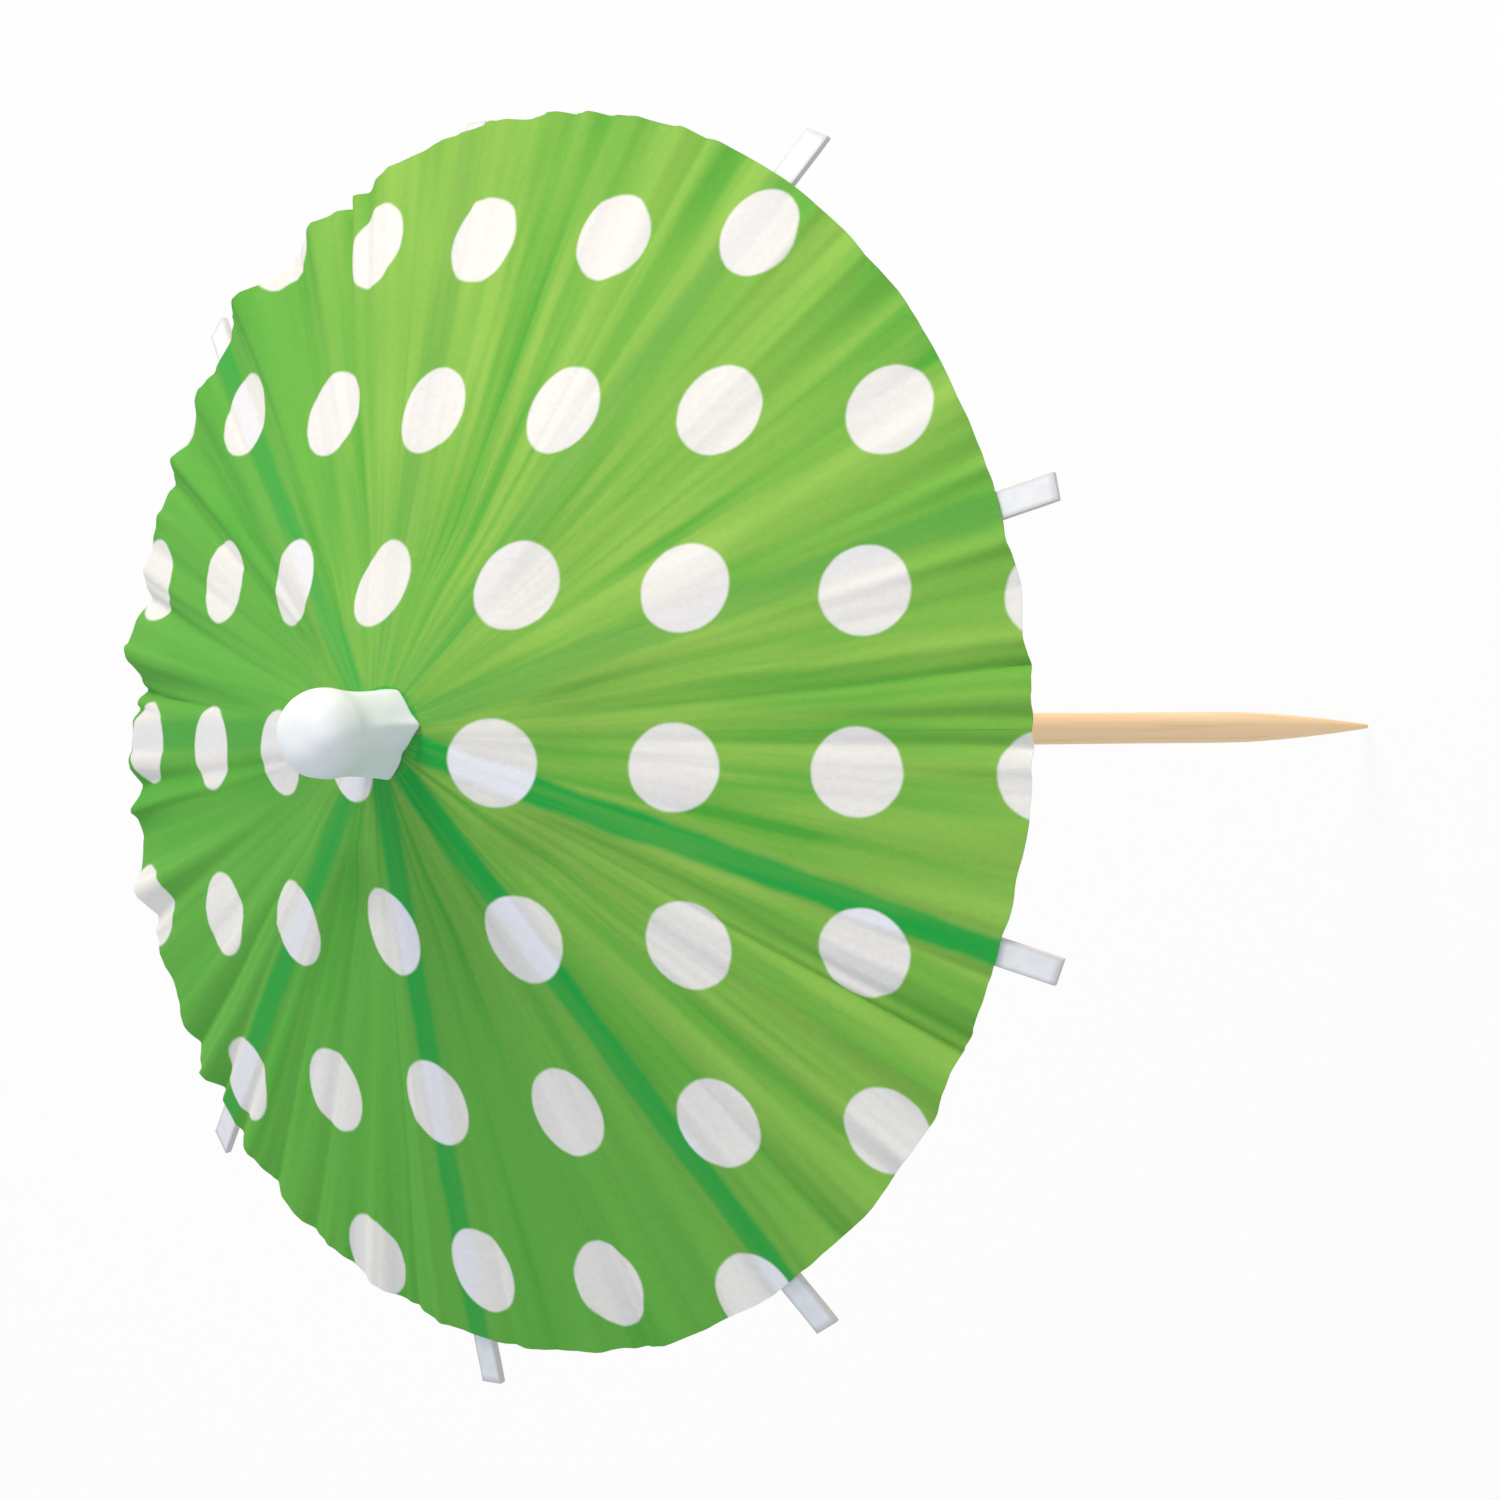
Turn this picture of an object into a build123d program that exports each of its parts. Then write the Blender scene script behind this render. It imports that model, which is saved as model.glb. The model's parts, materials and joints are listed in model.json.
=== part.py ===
"""Cocktail umbrella pick: a pleated paper canopy on nine creased card ribs that folds down a wooden stick.

The frame has +Z up along the stick, with the origin at the stick's point. All lengths are in
millimetres, all angles in degrees, and the model is the open umbrella.
"""

from build123d import *
from math import atan, atan2, cos, degrees, hypot, pi, radians, sin, tan
import os

os.makedirs("parts", exist_ok=True)

# Driving dimensions: stick

stick_diameter = 2.0
stick_point_diameter = 0.4
stick_taper_length = 12.5
stick_end_chamfer = 0.2

# Driving dimensions: paper canopy

apex_height = 93.8
canopy_radius = 36.0
canopy_slope = 22.3
paper_thickness = 0.16
paper_seam = 0.05

# Driving dimensions: card ribs and struts

rib_count = 9
rib_width = 1.6
rib_overhang = 2.9
card_thickness = 0.4
strut_width = 1.4
strut_reach = 18.0

# Driving dimensions: runner and retaining ring

sleeve_wall = 0.7
sleeve_length = 15.0
sleeve_lip = 1.0
collar_rim = 0.4
ring_wall = 0.65
ring_height = 2.5
ring_round = 0.2

# Driving dimensions: top cap

cap_head_diameter = 5.1
cap_top_rise = 6.2
cap_head_undercut = 32.0
cap_skirt_radius = 2.6
cap_skirt_edge = 0.35
cap_skirt_flare = 25.0
cap_bore_depth = 4.2

# Clearances

glue_line = 0.03
paper_to_rib = 0.08
crease_gap = 0.05
side_gap = 0.03
slide_clearance = 0.08
ring_clearance = 0.04

# Sizes that follow from the driving dimensions

stick_radius = stick_diameter / 2
rib_pitch = 360.0 / rib_count
half_gore = rib_pitch / 2
slope = radians(canopy_slope)
sleeve_bore = stick_radius + slide_clearance
sleeve_radius = sleeve_bore + sleeve_wall
cap_head_radius = cap_head_diameter / 2

# The creases lie on one circle, wide enough for the card strips to stand side by side round the
# stick and for the collar to go round the sleeve.
widest_strip = max(rib_width, strut_width)
strips_side_by_side = (widest_strip / 2 + side_gap) / tan(radians(half_gore)) + card_thickness / 2
collar_round_sleeve = sleeve_radius + glue_line + collar_rim + crease_gap + card_thickness / 2
crease_radius = max(strips_side_by_side, collar_round_sleeve)
disc_apothem = crease_radius - card_thickness / 2 - crease_gap

# The rib's middle plane lies this far under the paper's middle surface, square to the slope.
rib_depth = paper_thickness / 2 + paper_to_rib + card_thickness / 2


def paper_height(radius, above=0.0):
    """Height of the canopy cone at a radius, or of the surface this far above it, square to the slope."""
    return apex_height - radius * tan(slope) + above / cos(slope)


# Hinge points in the radial plane, as (radius, height). The strut is as long as the rib is from its
# hub crease to its strut crease, so the runner's creases stay on the same circle as the hub's.
hub_crease = (crease_radius, paper_height(crease_radius, -rib_depth))
strut_drop = card_thickness + crease_gap
rib_crease = (
    hub_crease[0] + strut_reach * cos(slope) - strut_drop * sin(slope),
    hub_crease[1] - strut_reach * sin(slope) - strut_drop * cos(slope),
)
strut_length = hypot(strut_reach, strut_drop)
strut_slope = slope + atan2(strut_drop, strut_reach)
runner_crease = (crease_radius, hub_crease[1] - 2 * strut_length * sin(strut_slope))

rib_tip_radius = canopy_radius + rib_overhang
rib_length = (rib_tip_radius - crease_radius) / cos(slope)
crown_radius = crease_radius + card_thickness / 2
sleeve_bottom = runner_crease[1] - card_thickness / 2 - sleeve_length


def turned(solid, azimuth):
    """The solid turned about the stick."""
    return Rot(0, 0, azimuth) * solid


def revolved(outline, arc=360.0):
    """A closed (radius, height) outline turned about the stick, from azimuth 0 round by the arc."""
    return revolve(Plane.XZ * make_face(outline), Axis.Z, arc)


def paper_ring(inner, outer, arc):
    """A stretch of the canopy cone between two radii, as thick as the paper."""
    half = paper_thickness / 2
    corners = [
        (inner, paper_height(inner, half)),
        (outer, paper_height(outer, half)),
        (outer, paper_height(outer, -half)),
        (inner, paper_height(inner, -half)),
    ]
    return revolved(Polyline(*corners, close=True), arc)


def make_stick():
    """Round stick with a long taper to its point, and a top end that is broken for the cap."""
    top = apex_height + cap_bore_depth - glue_line
    outline = Polyline(
        (0, 0),
        (stick_point_diameter / 2, 0),
        (stick_radius, stick_taper_length),
        (stick_radius, top - stick_end_chamfer),
        (stick_radius - stick_end_chamfer, top),
        (0, top),
        close=True,
    )
    return revolved(outline)


def make_top_cap():
    """Cap with a round head, a slight waist and a skirt that sits on the paper round the stick."""
    bore = stick_radius + glue_line
    bore_top = apex_height + cap_bore_depth
    seat = paper_thickness / 2 + glue_line
    head_height = apex_height + cap_top_rise - cap_head_radius
    undercut = radians(cap_head_undercut)
    skirt = radians(cap_skirt_flare)
    head_top = (0, head_height + cap_head_radius)
    head_side = (cap_head_radius, head_height)
    head_foot = (cap_head_radius * cos(undercut), head_height - cap_head_radius * sin(undercut))
    skirt_foot = (cap_skirt_radius, paper_height(cap_skirt_radius, seat))
    skirt_top = (cap_skirt_radius, skirt_foot[1] + cap_skirt_edge)
    head = ThreePointArc(head_top, polar_point(head_height, cap_head_radius, pi / 4), head_side)
    under = ThreePointArc(
        head_side, polar_point(head_height, cap_head_radius, -undercut / 2), head_foot
    )
    waist = Spline(
        head_foot,
        skirt_top,
        tangents=[(-sin(undercut), -cos(undercut)), (sin(skirt), -cos(skirt))],
    )
    foot = Polyline(
        skirt_top, skirt_foot, (bore, paper_height(bore, seat)), (bore, bore_top), (0, bore_top), head_top
    )
    return revolved(head + under + waist + foot)


def polar_point(height, radius, angle):
    """A point of a circle that is centred on the stick's axis, as (radius, height)."""
    return (radius * cos(angle), height + radius * sin(angle))


def make_crease_disc(height, bore):
    """Flat card disc with one straight edge for each card strip that is creased to it."""
    corner = disc_apothem / cos(radians(half_gore))
    points = [
        (corner * cos(radians(azimuth)), corner * sin(radians(azimuth)))
        for azimuth in [half_gore + n * rib_pitch for n in range(rib_count)]
    ]
    outline = make_face(Polyline(*points, close=True)) - Circle(bore)
    return Pos(0, 0, height - card_thickness / 2) * extrude(outline, card_thickness)


def card_strip_plane(crease, angle):
    """Plane through a crease, with x along a strip at this angle under the horizontal."""
    return Plane(
        origin=(crease[0], 0, crease[1]),
        x_dir=(cos(angle), 0, -sin(angle)),
        z_dir=(0, -1, 0),
    )


def make_rib():
    """Flat card rib: rounded at its crease on the hub, cut square at its tip."""
    half = card_thickness / 2
    edges = Polyline((0, half), (rib_length, half), (rib_length, -half), (0, -half))
    edges += ThreePointArc((0, -half), (-half, 0), (0, half))
    side = card_strip_plane(hub_crease, slope) * make_face(edges)
    return extrude(side, rib_width / 2, both=True)


def make_strut():
    """Flat card strut, rounded at its crease on the runner and at its crease on the rib."""
    side = Pos(strut_length / 2, 0) * SlotCenterToCenter(strut_length, card_thickness)
    side = card_strip_plane(runner_crease, -strut_slope) * side
    return extrude(side, strut_width / 2, both=True)


def make_panel():
    """Half of the paper between two ribs: from the rib at azimuth 0 to the fold half way to the next."""
    seam = degrees(atan(paper_seam / canopy_radius))
    sheet = paper_ring(crown_radius + paper_seam, canopy_radius, half_gore - 2 * seam)
    return turned(sheet, seam)


def make_sleeve():
    """Rolled paper tube that carries the collar and slides on the stick."""
    height = sleeve_lip + card_thickness + sleeve_length
    tube = Cylinder(sleeve_radius, height) - Cylinder(sleeve_bore, height)
    return Pos(0, 0, sleeve_bottom + height / 2) * tube


def make_ring():
    """Short tight ring under the sleeve, with rounded outer edges."""
    bore = stick_radius + ring_clearance
    tube = Cylinder(bore + ring_wall, ring_height)
    rims = tube.edges().filter_by(GeomType.CIRCLE)
    tube = fillet(rims, min(ring_round, ring_wall / 2)) - Cylinder(bore, ring_height)
    return Pos(0, 0, sleeve_bottom - crease_gap - ring_height / 2) * tube


# One solid for each piece

rib = make_rib()
strut = make_strut()
panel = make_panel()
mirrored_panel = mirror(panel, Plane.XZ)

pieces = {
    "stick": make_stick(),
    "top_cap": make_top_cap(),
    "canopy_crown": paper_ring(stick_radius + glue_line, crown_radius, 360.0),
    "rib_hub": make_crease_disc(hub_crease[1], stick_radius + glue_line),
    "runner_collar": make_crease_disc(runner_crease[1], sleeve_radius + glue_line),
    "runner_sleeve": make_sleeve(),
    "retaining_ring": make_ring(),
}
for number in range(1, rib_count + 1):
    azimuth = (number - 1) * rib_pitch
    pieces[f"rib_{number}"] = turned(rib, azimuth)
    pieces[f"strut_{number}"] = turned(strut, azimuth)
    pieces[f"panel_{number}_left"] = turned(panel, azimuth)
    pieces[f"panel_{number}_right"] = turned(mirrored_panel, azimuth)

for name, piece in pieces.items():
    export_step(piece, f"parts/{name}.step")

print("creases (radius, height):", "hub", hub_crease, "rib", rib_crease, "runner", runner_crease)
print("crease circle radius", crease_radius, "strut slope", degrees(strut_slope))
print("rib tips at radius", rib_tip_radius, "height", hub_crease[1] - rib_length * sin(slope))
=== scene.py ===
# %% [markdown]
# # Dressing a cocktail umbrella pick
# A cocktail umbrella pick is a small paper parasol on a wooden stick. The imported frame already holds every
# piece at its real size, in metres, with +Z up along the stick and the stick's point at the origin. This
# lesson gives the pieces their looks: first the sizes that the frame gives, then the finishes, then each
# piece, and last the floor, the light and the camera.

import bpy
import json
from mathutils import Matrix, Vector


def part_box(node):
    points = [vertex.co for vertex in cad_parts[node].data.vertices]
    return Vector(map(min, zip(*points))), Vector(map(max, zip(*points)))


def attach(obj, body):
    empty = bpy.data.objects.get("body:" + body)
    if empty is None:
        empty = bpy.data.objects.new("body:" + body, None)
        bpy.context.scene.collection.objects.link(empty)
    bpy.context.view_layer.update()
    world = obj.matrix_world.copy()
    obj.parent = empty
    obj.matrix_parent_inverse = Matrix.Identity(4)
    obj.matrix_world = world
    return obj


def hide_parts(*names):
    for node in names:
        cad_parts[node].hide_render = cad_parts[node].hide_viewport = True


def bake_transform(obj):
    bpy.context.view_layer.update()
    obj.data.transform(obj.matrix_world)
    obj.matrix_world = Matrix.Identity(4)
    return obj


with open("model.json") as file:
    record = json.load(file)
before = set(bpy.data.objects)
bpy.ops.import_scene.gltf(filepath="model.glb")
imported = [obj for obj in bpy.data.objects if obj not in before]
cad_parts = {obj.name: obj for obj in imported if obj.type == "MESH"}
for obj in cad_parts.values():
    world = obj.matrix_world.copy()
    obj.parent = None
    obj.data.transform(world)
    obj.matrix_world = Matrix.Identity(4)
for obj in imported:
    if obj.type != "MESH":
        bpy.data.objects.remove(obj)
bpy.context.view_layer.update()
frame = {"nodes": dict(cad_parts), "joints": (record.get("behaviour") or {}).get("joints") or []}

# %% [markdown]
# ## Sizes from the frame
# The folds of the real umbrella are the joints of the frame, so their places and axes give most of the
# shape: the fold of the paper along rib 1 lies on the canopy's cone, and its axis has the cone's slope. The
# other way would be to type the sizes again, and then a change in the model would leave the looks behind.

# %% Driving sizes
import json
import math

import bmesh
import bpy
from mathutils import Matrix, Vector, noise

MM = 0.001
joints = {joint["name"]: joint for joint in frame["joints"]}
paper_fold = joints["panel_1_left_crease"]
crease_radius, crease_height = paper_fold["pos_m"][0], paper_fold["pos_m"][2]
slope = -math.asin(paper_fold["axis"][2])
apex = crease_height + crease_radius * math.tan(slope)
rib_count = sum(name.endswith("_left") for name in frame["nodes"])
half_gore = math.pi / rib_count
rim_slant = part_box("panel_1_left")[1].x / math.cos(slope)
crown_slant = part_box("canopy_crown")[1].x / math.cos(slope)
stick_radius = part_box("stick")[1].x
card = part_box("rib_hub")[1].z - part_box("rib_hub")[0].z
print("cone slope", round(math.degrees(slope), 2), "apex at", round(apex / MM, 2), "mm,", rib_count, "ribs")

# %% [markdown]
# ## Helpers
# A few small functions do the work that every step shares. One adds a node to any tree. One turns a hex
# colour into the linear values that the renderer counts in. One makes what the modifiers show into a plain
# mesh, because a body carries meshes. The others make a piece, a material or a Geometry Nodes tree, and
# grow a piece from a tree. What comes up most gets a short name.

# %% Shared helpers
from functools import partial

MATH, VECTOR, RANGE = "ShaderNodeMath", "ShaderNodeVectorMath", "ShaderNodeMapRange"
NOISE, MIX, BUMP = "ShaderNodeTexNoise", "ShaderNodeMix", "ShaderNodeBump"
ROTATE, COMBINE, SEPARATE = "ShaderNodeVectorRotate", "ShaderNodeCombineXYZ", "ShaderNodeSeparateXYZ"
COORDINATES, ATTRIBUTE = "ShaderNodeTexCoord", "ShaderNodeAttribute"
PRINCIPLED, MIX_SHADERS = "ShaderNodeBsdfPrincipled", "ShaderNodeMixShader"
SMOOTH = {"interpolation_type": "SMOOTHSTEP"}
RGBA = {"data_type": "RGBA"}
TIMES, PLUS = {"operation": "MULTIPLY"}, {"operation": "ADD"}
TIMES_PLUS, MINUS = {"operation": "MULTIPLY_ADD"}, {"operation": "SUBTRACT"}
ABOUT_Y, ABOUT_Z = {"rotation_type": "Y_AXIS"}, {"rotation_type": "Z_AXIS"}
scene = bpy.context.scene


def node(tree, kind, inputs=(), **settings):
    """Adds a node, sets its properties, and fills its inputs, by name or in order, with values or links."""
    if not isinstance(inputs, dict):
        inputs = dict(enumerate(inputs))
    made = tree.nodes.new(kind)
    for name, value in settings.items():
        setattr(made, name, value)
    for key, value in inputs.items():
        if isinstance(value, bpy.types.Node):
            value = value.outputs[0]
        if isinstance(value, bpy.types.NodeSocket):
            tree.links.new(value, made.inputs[key])
        else:
            made.inputs[key].default_value = value
    return made


def linear(colour):
    """An sRGB hex colour as linear red, green, blue and alpha."""
    parts = [int(colour[i : i + 2], 16) / 255 for i in (1, 3, 5)]
    return [c / 12.92 if c <= 0.04045 else ((c + 0.055) / 1.055) ** 2.4 for c in parts] + [1.0]


def settle(piece):
    """Makes the evaluated piece a plain mesh without modifiers."""
    graph = bpy.context.evaluated_depsgraph_get()
    mesh = bpy.data.meshes.new_from_object(piece.evaluated_get(graph), depsgraph=graph)
    piece.modifiers.clear()
    piece.data = mesh
    mesh.name = piece.name
    return piece


def new_piece(name, data=None):
    """A new object in the scene."""
    piece = bpy.data.objects.new(name, data or bpy.data.meshes.new(name))
    scene.collection.objects.link(piece)
    return piece


def new_tree(name, sizes, shape, material):
    """A Geometry Nodes tree with these named inputs, which gives what this function adds its material."""
    tree = bpy.data.node_groups.new(name, "GeometryNodeTree")
    tree.interface.new_socket("Geometry", in_out="OUTPUT", socket_type="NodeSocketGeometry")
    for label, value in sizes.items():
        kind = "NodeSocketInt" if isinstance(value, int) else "NodeSocketFloat"
        tree.interface.new_socket(label, in_out="INPUT", socket_type=kind).default_value = value
    add = partial(node, tree)
    made = shape(add, add("NodeGroupInput").outputs)
    made = add("GeometryNodeRealizeInstances", {"Geometry": made})
    made = add("GeometryNodeSetMaterial", {"Geometry": made, "Material": material})
    add("NodeGroupOutput", {"Geometry": made})
    return tree


def grown(name, tree, **sizes):
    """A piece that a Geometry Nodes tree makes from these sizes, given by the names of its inputs."""
    piece = new_piece(name)
    modifier = piece.modifiers.new("shape", "NODES")
    modifier.node_group = tree
    sockets = {s.name: s.identifier for s in tree.interface.items_tree if s.in_out == "INPUT"}
    for label, value in sizes.items():
        modifier[sockets[label.replace("_", " ").capitalize()]] = value
    return settle(piece)


def new_material(name, surface, **details):
    """A material whose surface is the last node that this function adds."""
    material = bpy.data.materials.new(name)
    material.use_nodes = True
    material.node_tree.nodes.clear()
    add = partial(node, material.node_tree)
    add("ShaderNodeOutputMaterial", {"Surface": surface(add, **details)})
    return material


print("a mid grey, #808080, is", round(linear("#808080")[0], 3), "in linear light")

# %% [markdown]
# ## Polka dots
# The canopy is thin tissue paper, printed in one colour with white polka dots left bare. The dots are a
# square grid on the flat sheet, before it is crinkled. They could be drawn on Object coordinates, but they
# have to stay on the paper when it folds, so they read a UV map that holds each point's place on the flat
# sheet, in millimetres. The edge of a dot is a little ragged, because the ink runs along the fibres.

# %% Dots
DOT_PITCH_MM = 10.8
DOT_DIAMETER_MM = 5.4
DOT_EDGE_MM = 0.22
# Where the grid lies on the sheet, in pitches.
DOT_SHIFT = (0.83, 0.65, 0.0)
INK_RUN_MM = 1.3
# How far the ink runs, in pitches.
INK_RUN = 0.01


def polka_dots(add, flat):
    """1 on a dot and 0 on the ground."""
    ragged = add(NOISE, {"Vector": flat, "Scale": 1 / INK_RUN_MM, "Detail": 2.0})
    grid = add(VECTOR, (flat, [1 / DOT_PITCH_MM] * 3, DOT_SHIFT), **TIMES_PLUS)
    cell = add(VECTOR, (grid,), operation="FRACTION")
    cell = add(VECTOR, (cell, (0.5, 0.5, 0.0)), **MINUS)
    reach = add(VECTOR, (cell,), operation="LENGTH").outputs["Value"]
    reach = add(MATH, (ragged, INK_RUN, reach), **TIMES_PLUS)
    edge = (DOT_DIAMETER_MM / 2) / DOT_PITCH_MM + INK_RUN / 2
    soft = DOT_EDGE_MM / 2 / DOT_PITCH_MM
    return add(RANGE, (reach, edge - soft, edge + soft, 1.0, 0.0), **SMOOTH)


print("dots:", DOT_DIAMETER_MM, "mm wide, every", DOT_PITCH_MM, "mm")

# %% [markdown]
# ## Streaks in the dye, and painted light and shade
# Crinkled tissue takes its dye unevenly: pale and dark streaks run out from the middle, and they come in
# patches. Light and shade are painted on as well: one side of the sheet is painted lighter and yellower as
# painted light, the pale streaks show only on that side, and the pleat valleys are painted darker as painted
# shade. A noise on plain coordinates would give round blots, so this one is read at each point's angle and
# radius, which makes it narrow across and long outwards.

# %% Streaks
STREAK_MM = 2.3
STREAK_LENGTH_MM = 30.0
# The share of the radius at which the streaks have that width.
STREAK_AT = 0.7
STREAK_SEED = 2.7
# Limits, here and below, are those of a Map Range: from low to high, and onto low to high.
PALE_STREAKS = (0.49, 0.67)
DARK_STREAKS = (0.52, 0.32, 0.0, 0.9)
# Painted shade: how much darker the dye is painted in the pleat valleys.
DARK_CREASES = 0.4
PATCH_MM = 16.0
PATCHES = (0.35, 0.65, 0.35)
# Painted light: the way on the flat sheet to the side that is painted lighter and yellower, and the span in
# mm over which the ground goes from painted shade to painted light.
DYE_SIDE = (0.834, 0.552, 0.0)
DYE_CHANGE_MM = (-13.0, 15.0)


def dye_streaks(add, flat):
    """The streak noise, the painted lit side, the pale streaks that show on it, and the dark streaks with
    painted shade in the pleat valleys.
    """
    axes = add(SEPARATE, (flat,)).outputs
    angle = add(MATH, (axes["Y"], axes["X"]), operation="ARCTAN2")
    radius = add(VECTOR, (flat,), operation="LENGTH").outputs["Value"]
    streaks_round = STREAK_AT * rim_slant / MM / STREAK_MM
    across = add(MATH, (angle, streaks_round), **TIMES)
    along = add(MATH, (radius, 1 / STREAK_LENGTH_MM), **TIMES)
    place = add(COMBINE, {"X": across, "Y": along, "Z": STREAK_SEED})
    streak = add(NOISE, {"Vector": place, "Scale": 1.0, "Detail": 3.0, "Roughness": 0.5})
    # Painted light: lighter and yellower towards one side of the sheet, and the pale streaks only there.
    aside = add(VECTOR, (flat, DYE_SIDE), operation="DOT_PRODUCT").outputs["Value"]
    yellower = add(RANGE, (aside, *DYE_CHANGE_MM), **SMOOTH)
    patch = add(NOISE, {"Vector": flat, "Scale": 1 / PATCH_MM, "Detail": 1.0})
    patch = add(RANGE, (patch, *PATCHES))
    pale = add(RANGE, (streak, *PALE_STREAKS))
    for factor in (patch, yellower):
        pale = add(MATH, (pale, factor), **TIMES)
    # Painted shade: the dye is painted darker in the pleat valleys, where their shade falls.
    crease = add(ATTRIBUTE, attribute_name="crease").outputs["Fac"]
    dark = add(RANGE, (streak, *DARK_STREAKS))
    dark = add(MATH, (crease, DARK_CREASES, dark), **TIMES_PLUS)
    dark = add(MATH, (dark, patch), **TIMES, use_clamp=True)
    return streak, yellower, pale, dark


print("streaks:", STREAK_MM, "mm wide,", STREAK_LENGTH_MM, "mm long")

# %% [markdown]
# ## Stripes over the ribs
# Where the paper is glued on a card rib, less light comes through and the glue darkens the dye, and the
# card's shadow through the paper is painted on as well, so every rib shows as a deeper green stripe. The
# canopy's mesh will carry each point's distance from its rib, and how strongly the stripe of glue and
# painted shadow shows there, which is set rib by rib to follow the light. The stripe's edge wanders, because
# the glue spread by hand.

# %% Stripes
STRIPE_MM = (0.6, 1.25, 1.0, 0.0)
STRIPE_WANDER_MM = 0.7
STRIPE_WANDER_LENGTH_MM = 4.5
GLUE_PATCHES = (0.3, 0.7, 1.2, 0.85)


def rib_stripe(add, flat, streak):
    """1 where the paper lies on glue and card and takes their painted shadow, and 0 where it is free."""
    wander = add(NOISE, {"Vector": flat, "Scale": 1 / STRIPE_WANDER_LENGTH_MM, "Detail": 3.0})
    stray = add(MATH, (wander, 0.5), **MINUS)
    away = add(ATTRIBUTE, attribute_name="rib_offset").outputs["Fac"]
    away = add(MATH, (stray, STRIPE_WANDER_MM, away), **TIMES_PLUS)
    # Painted shade: how strongly the card's shadow through the paper is painted at this rib, together with
    # the glue's darkening.
    glue = add(ATTRIBUTE, attribute_name="glue").outputs["Fac"]
    patchy = add(RANGE, (streak, *GLUE_PATCHES))
    over = add(RANGE, (away, *STRIPE_MM), **SMOOTH)
    over = add(MATH, (over, glue), **TIMES)
    return add(MATH, (over, patchy), **TIMES, use_clamp=True)


print("stripes: full to", STRIPE_MM[0], "mm from the rib, gone at", STRIPE_MM[1], "mm")

# %% [markdown]
# ## Printed tissue paper
# The paper's face puts these together: the dyed ground, painted from shaded to lit, and the bare dots each
# take the pale streaks, the dark ones with their painted shade, and the stripes with their painted shadow.
# Tissue is so thin that it is lit from both sides, so a Translucent shader is mixed with the matt face.
# Subsurface scattering would do it too, but on a sheet this thin it is slower and noisier. The back is the
# same paper with less ink.

# %% Tissue paper
# Tissue fibres are about 0.03 mm thick, too fine to show, so their mottle is drawn coarser.
FIBRE_MM = 0.45
MOTTLE = (0.0, 1.0, 0.93, 1.07)
STREAK_RELIEF = 0.6
PAPER_RELIEF = 0.12 * MM
# The share of the light through free paper that still comes through over a rib.
LIGHT_OVER_RIB = 0.3


def tissue(add, dyes, greens, whites, through, light_through):
    """Printed tissue. Dyes: the painted shaded side, then the painted lit side. Greens: for pale streaks,
    dark ones with painted shade, stripes with painted shadow. Whites: plain, then the same three.
    """
    # To the eye: matt, softly streaked from the middle outwards, and bright where light comes through.
    flat = add("ShaderNodeUVMap", uv_map="flat")
    dot = polka_dots(add, flat)
    streak, yellower, pale, dark = dye_streaks(add, flat)
    over = rib_stripe(add, flat, streak)
    fibre = add(NOISE, {"Vector": flat, "Scale": 1 / FIBRE_MM, "Detail": 4.0, "Roughness": 0.65})

    # Painted light: the ground goes from its painted shaded colour to its painted lit colour across the
    # sheet.
    dyed = add(MIX, {0: yellower, 6: linear(dyes[0]), 7: linear(dyes[1])}, **RGBA).outputs[2]
    printed = []
    for colour, tints in ((dyed, greens), (linear(whites[0]), whites[1:])):
        for factor, tint in zip((pale, dark, over), tints):
            colour = add(MIX, {0: factor, 6: colour, 7: linear(tint)}, **RGBA).outputs[2]
        printed.append(colour)
    colour = add(MIX, {0: dot, 6: printed[0], 7: printed[1]}, **RGBA).outputs[2]
    glow = add(MIX, {0: dot, 6: linear(through[0]), 7: linear(through[1])}, **RGBA).outputs[2]
    mottle = add(RANGE, (fibre, *MOTTLE))
    colour, glow = [
        add(MIX, {0: 1.0, 6: tone, 7: mottle}, **RGBA, blend_type="MULTIPLY").outputs[2]
        for tone in (colour, glow)
    ]

    relief = add(MATH, (streak, STREAK_RELIEF, fibre), **TIMES_PLUS)
    bump = add(BUMP, {"Height": relief, "Strength": 0.25, "Distance": PAPER_RELIEF})
    matt = {"Roughness": 0.82, "Specular IOR Level": 0.25}
    face = add(PRINCIPLED, {"Base Color": colour, "Normal": bump, **matt})
    behind = add("ShaderNodeBsdfTranslucent", {"Color": glow, "Normal": bump})
    open_share = add(RANGE, (over, 0.0, 1.0, light_through, LIGHT_OVER_RIB * light_through))
    return add(MIX_SHADERS, (open_share, face, behind))


tissue_front = new_material(
    "printed_tissue_paper",
    tissue,
    # The ground: the painted shaded side, then the painted lit side.
    dyes=("#74BC52", "#98C758"),
    # Tints: the dark ones also carry the painted shade of the pleat valleys, the stripe ones the painted
    # shadow of the ribs.
    greens=("#B2D866", "#58B040", "#1FA741"),
    whites=("#F4F1EF", "#F8F6F4", "#E3E0E6", "#F1F1F9"),
    through=("#48B833", "#F4F1EF"),
    light_through=0.35,
)
tissue_back = new_material(
    "bare_back_of_tissue_paper",
    tissue,
    # The ground: the painted shaded side, then the painted lit side.
    dyes=("#A0CC84", "#AED086"),
    # Tints: the dark ones also carry the painted shade of the pleat valleys, the stripe ones the painted
    # shadow of the ribs.
    greens=("#B5D795", "#8DBB70", "#8DBB70"),
    whites=("#EDEDE6", "#F2F2EC", "#E2E1DE", "#E2E1DE"),
    through=("#D8EBC6", "#F4F4EE"),
    light_through=0.6,
)
print("tissue:", len(tissue_front.node_tree.nodes), "nodes on each face")

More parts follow.
